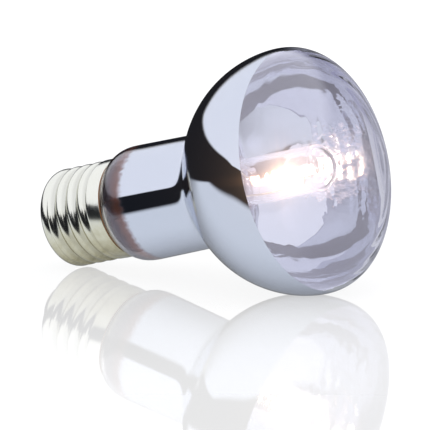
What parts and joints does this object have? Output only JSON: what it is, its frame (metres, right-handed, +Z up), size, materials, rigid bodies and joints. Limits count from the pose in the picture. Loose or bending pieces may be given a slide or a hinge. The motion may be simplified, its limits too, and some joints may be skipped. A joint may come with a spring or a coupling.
{
  "type": "halogen reflector bulb",
  "caption": "Reflector bulb with a clear domed front, a bowl and neck mirrored from inside, a halogen capsule on its axis and a threaded screw cap.",
  "frame": {"origin": "middle of the bulb's box at the floor it lies on", "axes": "+X from the cap's end towards the dome, +Y across, +Z up; the bulb's own axis lies in the XZ plane and rises 14.3 degrees towards the dome"},
  "size_m": [0.0976, 0.0626, 0.0619],
  "materials": {
    "shell_metal": "bright plated",
    "insulator_glass": "gloss",
    "eyelet_brass": "satin",
    "solder": "satin",
    "cement": "matt",
    "bulb_glass": "clear, faint cool tint",
    "mirror_film": "mirror",
    "stem_glass": "clear",
    "lead_copper": "bright",
    "lead_nickel": "bright",
    "quartz": "clear",
    "pin_metal": "satin",
    "foil_metal": "satin",
    "tungsten": "satin",
    "filament_glow": "satin"
  },
  "bodies": {
    "root": {"screw_shell": "shell_metal", "insulator": "insulator_glass", "contact_eyelet": "eyelet_brass", "contact_solder": "solder", "basing_cement": "cement", "glass_envelope": "bulb_glass", "mirror_coating": "mirror_film", "stem_glass": "stem_glass", "exhaust_tube": "stem_glass", "outer_lead_center": "lead_copper", "outer_lead_side": "lead_copper", "inner_lead_1": "lead_nickel", "inner_lead_2": "lead_nickel", "capsule_glass": "quartz", "capsule_pin_1": "pin_metal", "capsule_pin_2": "pin_metal", "foil_1": "foil_metal", "foil_2": "foil_metal", "filament_post_1": "tungsten", "filament_post_2": "tungsten", "filament": "filament_glow"}
  },
  "joints": []
}
